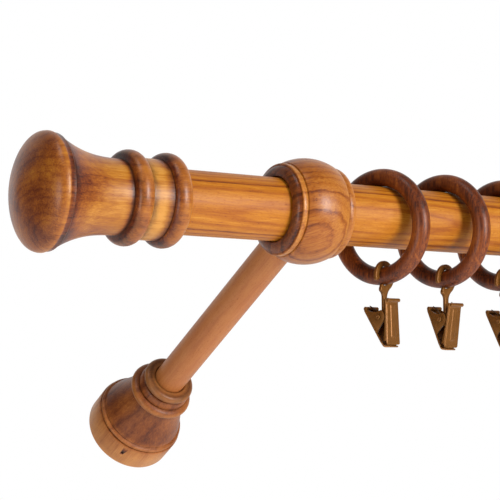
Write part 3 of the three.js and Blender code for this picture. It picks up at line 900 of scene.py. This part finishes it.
def shell(name, rows, columns, outer, thickness, matrix):
    """A closed sheet from a grid of outer points, made thick along each point's normal."""
    grid = [[Vector(outer(u / columns, v / rows)) for u in range(columns + 1)] for v in range(rows + 1)]
    inner = []
    for v in range(rows + 1):
        line = []
        for u in range(columns + 1):
            du = grid[v][min(u + 1, columns)] - grid[v][max(u - 1, 0)]
            dv = grid[min(v + 1, rows)][u] - grid[max(v - 1, 0)][u]
            line.append(grid[v][u] - du.cross(dv).normalized() * thickness)
        inner.append(line)
    size = (rows + 1) * (columns + 1)
    vertices = [p for side in (grid, inner) for line in side for p in line]

    def at(v, u, layer):
        return layer * size + v * (columns + 1) + u

    faces = []
    for v in range(rows):
        for u in range(columns):
            quad = [(v, u), (v, u + 1), (v + 1, u + 1), (v + 1, u)]
            faces.append([at(a, b, 0) for a, b in quad])
            faces.append([at(a, b, 1) for a, b in reversed(quad)])
    border = [(0, u) for u in range(columns)] + [(v, columns) for v in range(rows)]
    border += [(rows, u) for u in range(columns, 0, -1)] + [(v, 0) for v in range(rows, 0, -1)]
    for (a, b), (c, d) in zip(border, border[1:] + border[:1]):
        faces.append([at(a, b, 0), at(a, b, 1), at(c, d, 1), at(c, d, 0)])
    return new_object(name, mesh_of(name, vertices, faces), matrix, 40)


def smooth_step(value, low, high):
    """0 below low, 1 above high and eased between."""
    t = min(max((value - low) / (high - low), 0), 1)
    return t * t * (3 - 2 * t)


def bar(radius, half, y, z, matrix):
    """A round bar across the clip, with its ends eased."""
    ease = 0.25
    outline = Outline(0, -half).to((radius - ease, -half), (radius, ease - half))
    outline.to((radius, half - ease), (radius - ease, half), (0, half))
    return lathe("bar", outline.points, matrix @ Matrix.Translation((0, y * MM, z * MM)), 32)


def across_plate(name, outline, low, high, round_width, matrix):
    """A plate from low to high across the clip, with its outline in (y, z) and its edges eased."""
    made = plate(name, outline, low, high, lambda a, b, c: (c, a, b), matrix)
    rounded(made, round_width, 2)
    return made


def make_front_jaw(number, matrix):
    """The front jaw: a face with two side flanges, a pressed rib, a rolled lip and two ears on the pin."""
    face, top, bottom, sheet, corner, bend = -4.7, 8.1, -12.7, 0.75, 1.8, 0.7
    half_top, half_bottom = 4.6, 5.2
    rib_half, rib_depth, rib_bottom, rib_top = 1.5, 0.2, -9.3, 5.2
    lip_height, lip_depth = 7.2, 0.45
    # The sheet is flat to the first share of its half width, and is a flange past the second.
    flat, turned = 0.72, 0.88
    ear_in, ear_out, ear_radius = 3.1, 3.7, 2.4

    def half_at(z):
        return half_bottom + (half_top - half_bottom) * (z - bottom) / (top - bottom)

    def back_at(z):
        return float(np.interp(z, (bottom + 1, -1, top), (-2.75, -3.8, -3.8)))

    def skin(u, v):
        across = abs(2 * u - 1)
        side = 1 if u > 0.5 else -1
        bent = min(max((across - flat) / (turned - flat), 0), 1)
        half = half_at(bottom + (top - bottom) * v)
        reach = (half - bend) * min(across / flat, 1) + bend * math.sin(bent * math.pi / 2)
        low = bottom + corner - math.sqrt(max(corner**2 - max(reach - half + corner, 0) ** 2, 0))
        z = low + (top - low) * v
        y = face + bend * (1 - math.cos(bent * math.pi / 2))
        if across > turned:
            y += (back_at(z) - face - bend) * (across - turned) / (1 - turned)
        rib = smooth_step(-reach, -rib_half - 0.35, -rib_half + 0.25)
        rib *= smooth_step(z, rib_bottom - 0.5, rib_bottom + 0.5)
        rib *= smooth_step(-z, -rib_top - 0.4, -rib_top + 0.4)
        lip = math.exp(-(((z - lip_height) / 0.8) ** 2)) * (1 - bent)
        return side * reach, y - rib_depth * rib - lip_depth * lip, z

    parts = [shell("face", 90, 72, skin, sheet, matrix), bar(0.85, half_top, -5.1, 7.4, matrix)]
    ear = [(-1, ear_radius)] + circle_points(ear_radius, 90, -90, 24)
    ear += [(-1, -ear_radius), (-4.2, -3.6), (-4.2, 3.6)]
    for low, high in ((-ear_out, -ear_in), (ear_in, ear_out)):
        parts.append(across_plate("ear", ear, low, high, 0.1, matrix))
    piece = joined(f"front_jaw_pressed_{number}", *parts)
    cut(piece, (rod_mesh(PIN_HOLE, -6, 6, 32), matrix))
    dress(piece, BRONZE, "bronze_paint", f"jaw_{number}", f"front_jaw_{number}")


def make_rear_jaw(number, matrix):
    """The rear jaw: a sloping plate with a rolled top, a curled lip and two cheeks on the pin."""
    top, bottom, low, sheet, cheek_sheet = 3.4, -13.9, -12.2, 0.8, 0.7

    def back_at(z):
        return 0.6 * (z - bottom) - 2.22

    spine = [(back_at(top) - sheet, top), (back_at(low) - sheet, low + 0.2)]
    spine += quadratic_points(spine[-1], (-2.5, bottom + sheet), (-3.2, bottom + sheet), 6)
    spine += [(-4.6, bottom + sheet)]
    spine += quadratic_points(spine[-1], (-5.05, bottom + sheet / 2), (-4.6, bottom), 6)
    spine += [(-3.1, bottom)]
    spine += quadratic_points(spine[-1], (-2.1, bottom + 0.1), (back_at(low), low), 6)
    spine += [(back_at(top), top)]

    def narrowed(a, b, c):
        return c * (1 - 0.3 * smooth_step(-a, 2.2, 4.9)), a, b

    back = plate("back", spine, -JAW_HALF, JAW_HALF, narrowed, matrix)
    rounded(back, 0.3, 3, 35)
    rolled_top = bar(0.95, JAW_HALF, 7.4, 4.0, matrix)
    grip = bar(0.5, 3.6, -3.35, bottom + 1.2, matrix)
    parts = [back, rolled_top, grip]
    for x in (0.4 - JAW_HALF, JAW_HALF - 0.4):
        ends = [(x, back_at(z) - sheet / 2, z) for z in (low + 0.6, top - 0.4)]
        parts.append(tube_along("bend", ends, 0.54, matrix, 16))
    cheek = [(7.4, 3.5), (6.4, 3.4), (5.3, 3.0)]
    cheek += quadratic_points(cheek[-1], (3.4, 2.1), (1.6, 2.2), 6)
    cheek += quadratic_points(cheek[-1], (0.2, 2.3), (-1.3, 3.04), 6)
    cheek += circle_points(3.3, 113, 218, 28)
    cheek += [(0.2, -5.9), (0.9, -7.3)]
    for near, far in ((-JAW_HALF, cheek_sheet - JAW_HALF), (JAW_HALF - cheek_sheet, JAW_HALF)):
        parts.append(across_plate("cheek", cheek, near, far, 0.14, matrix))
    piece = joined(f"rear_jaw_pressed_{number}", *parts)
    cut(piece, (rod_mesh(PIN_HOLE, -6, 6, 32), matrix))
    dress(piece, BRONZE, "bronze_paint", f"clip_{number}", f"rear_jaw_{number}")


def make_pivot_pin(number, matrix):
    """The rivet: a plain shank between two low heads, each with a small hollow."""
    radius, head, height, hollow = 0.85, 1.1, 0.45, 0.4
    grip = JAW_HALF + GAP
    profile = [(head, 0), (head, 0.2), (head - 0.15, 0.38), (head - 0.4, height)]
    profile += [(hollow, height - 0.05), (0, 0.1)]
    outline = Outline(0, -grip - profile[-1][1])
    outline.to(*[(r, -grip - h) for r, h in profile[-2::-1]])
    outline.to((radius, -grip), (radius, grip))
    outline.to(*[(r, grip + h) for r, h in profile])
    piece = lathe(f"rivet_{number}", outline.points, matrix, 32)
    dress(piece, BRONZE, "bronze_paint", f"clip_{number}", f"pivot_pin_{number}")


def make_spring(number, matrix):
    """The torsion spring: coils on the pin, with one leg up the rear jaw and the other up the front."""
    wire, coil, low, high = 0.22, 1.6, -2.7, -1.6
    turns, steps = 2.4, 60
    start = math.radians(60)
    path = [Vector((low, 6.1, 5.2)), Vector((low, 3.9, 4.1))]
    for i in range(steps + 1):
        angle = start + 2 * math.pi * turns * i / steps
        x = low + (high - low) * i / steps
        path.append(Vector((x, coil * math.cos(angle), coil * math.sin(angle))))
    coils = tube_along(f"spring_coils_{number}", path, wire, matrix)
    dress(coils, SPRING, "spring_steel", f"clip_{number}", f"clip_spring_{number}")
    foot, end = Vector((high, -1.6, 0.6)), Vector((-1.75, -3.62, 8.5))
    path = [foot.lerp(end, share) for share in (0, 0.3, 0.7, 1.0)]
    leg = tube_along(f"spring_leg_{number}", path, wire, matrix)
    dress(leg, SPRING, "spring_steel", f"jaw_{number}")


def make_ring_and_clip(number):
    """One ring with its hook and clip, from the axes that the CAD joints turn them about."""
    swing, opening = JOINTS[f"clip_{number}_swing"], JOINTS[f"jaw_{number}_open"]
    along = -Vector(opening["axis"])
    sideways = UP.cross(along)
    ring = local_frame(middle(f"ring_{number}"), along, sideways)
    shank = Vector(swing["pos_m"]) - Vector(opening["pos_m"])
    hook = local_frame(swing["pos_m"], along, shank.cross(along))
    lean = math.radians(JAW_LEANS[number - 1])
    pin = local_frame(opening["pos_m"], along, sideways * math.cos(lean) - UP * math.sin(lean))
    make_ring(number, SETTLE @ ring)
    make_hook(number, SETTLE @ hook)
    make_rear_jaw(number, pin)
    make_front_jaw(number, pin)
    make_pivot_pin(number, pin)
    make_spring(number, pin)


make_pole()
for side_name in ("left", "right"):
    make_finial(side_name)
    make_bracket(side_name)
for ring_number in range(1, RING_COUNT + 1):
    make_ring_and_clip(ring_number)


# ---- floor, light and camera


def emitter(name, target, towards, distance, width, height, power):
    """A soft box at a direction from the target, facing it. Lengths are in metres and power in watts."""
    data = bpy.data.lights.new(name, "AREA")
    data.shape = "RECTANGLE"
    data.size, data.size_y = width, height
    data.energy = power
    lamp = in_scene(name, data)
    way = towards.normalized()
    lamp.location = target + way * distance
    lamp.rotation_euler = (-way).to_track_quat("-Z", "Y").to_euler()


def make_floor(height):
    """A sheet of white paper below the object, in metres."""
    size, rows = 3, 8
    vertices, faces = [], []
    for i in range(rows + 1):
        for j in range(rows + 1):
            vertices.append(((i / rows - 0.5) * size, (j / rows - 0.5) * size, 0))
    for i in range(rows):
        for j in range(rows):
            a = i * (rows + 1) + j
            faces.append([a, a + rows + 1, a + rows + 2, a + 1])
    mesh = bpy.data.meshes.new("floor")
    mesh.from_pydata(vertices, [], faces)
    floor = in_scene("floor", mesh)
    floor.location = (POLE_MIDDLE.x, 0, height)
    n = Nodes("floor_paper")
    place = n.add("ShaderNodeTexCoord", output="Object")
    cloud = n.noise(place, 1.5, 3, 0.5)
    paper = n.ramp(cloud, (0.3, (0.9, 0.9, 0.9, 1)), (0.7, (0.93, 0.93, 0.93, 1)))
    n.put(n.shader.inputs["Base Color"], paper)
    n.shader.inputs["Roughness"].default_value = 0.9
    n.shader.inputs["Emission Color"].default_value = (1, 1, 1, 1)
    n.shader.inputs["Emission Strength"].default_value = 0.35
    floor.data.materials.append(n.material)


def make_world(backdrop, dimmest):
    """White behind the object as the camera sees it, and dim where the camera stands."""
    world = bpy.data.worlds.new("studio")
    bpy.context.scene.world = world
    world.use_nodes = True
    nodes, links = world.node_tree.nodes, world.node_tree.links

    def made(kind, **settings):
        node = nodes.new(kind)
        for key, value in settings.items():
            setattr(node, key, value)
        return node

    place = made("ShaderNodeTexCoord")
    toward = made("ShaderNodeVectorMath", operation="DOT_PRODUCT")
    toward.inputs[1].default_value = backdrop
    links.new(place.outputs["Generated"], toward.inputs[0])
    spread = made("ShaderNodeMapRange", interpolation_type="SMOOTHSTEP")
    links.new(toward.outputs["Value"], spread.inputs[0])
    for socket, value in zip(spread.inputs[1:5], (0.1, 0.9, dimmest, 1.0)):
        socket.default_value = value
    seen = made("ShaderNodeLightPath")
    white = made("ShaderNodeMath", operation="MAXIMUM")
    links.new(spread.outputs[0], white.inputs[0])
    links.new(seen.outputs["Is Camera Ray"], white.inputs[1])
    background = nodes["Background"]
    background.inputs["Color"].default_value = (1, 1, 1, 1)
    links.new(white.outputs[0], background.inputs["Strength"])


# The camera's place round the left bracket's end of the pole, in metres, with its lens in millimetres.
CAMERA_AZIMUTH = math.radians(-32.422)
CAMERA_ELEVATION = math.radians(-1.116)
CAMERA_ROLL = math.radians(2.755)
CAMERA_DISTANCE = 0.737589
CAMERA_LENS = 122.4
TARGET_OFFSET = Vector((-0.028671, 0, -0.018459))


def make_camera():
    """Makes the camera, and gives what it looks at and the ways back to it and to its right."""
    data = bpy.data.cameras.new("camera")
    data.lens = CAMERA_LENS
    data.sensor_width = 36
    data.clip_start = 0.01
    data.clip_end = 100
    camera = in_scene("camera", data)
    bracket_x = MOUNTS["wall_face_left"]["pos_m"][0]
    target = Vector((bracket_x, POLE_MIDDLE.y, POLE_MIDDLE.z)) + TARGET_OFFSET
    back = Vector((
        math.sin(CAMERA_AZIMUTH) * math.cos(CAMERA_ELEVATION),
        -math.cos(CAMERA_AZIMUTH) * math.cos(CAMERA_ELEVATION),
        math.sin(CAMERA_ELEVATION),
    ))
    right = (-back).cross(UP).normalized()
    up = right.cross(-back)
    x_axis = right * math.cos(CAMERA_ROLL) + up * math.sin(CAMERA_ROLL)
    y_axis = up * math.cos(CAMERA_ROLL) - right * math.sin(CAMERA_ROLL)
    turn = Matrix((x_axis, y_axis, back)).transposed().to_4x4()
    camera.matrix_world = Matrix.Translation(target + back * CAMERA_DISTANCE) @ turn
    bpy.context.scene.camera = camera
    return target, back, right


view_target, view_back, view_right = make_camera()
make_floor(cad_box[0].z - 0.45)
make_world(-view_back, 0.06)
# Each soft box: its way from the target in back, right and up, its distance, width, height and power.
LIGHTS = {
    "key": (0.7, 0.8, 0.3, 1.3, 0.4, 0.6, 18),
    "left": (0.82, -0.57, -0.05, 1.3, 0.5, 0.7, 6),
    "right": (0.35, 0.95, 0.1, 1.2, 0.3, 0.8, 3),
    "above": (0.3, -0.2, 0.9, 1.3, 0.5, 0.6, 4),
}
for light_name, (to_back, to_right, to_up, *light_box) in LIGHTS.items():
    light_way = view_back * to_back + view_right * to_right + UP * to_up
    emitter(light_name, view_target, light_way, *light_box)
bpy.context.scene.view_settings.view_transform = "Standard"
bpy.context.scene.view_settings.look = "None"
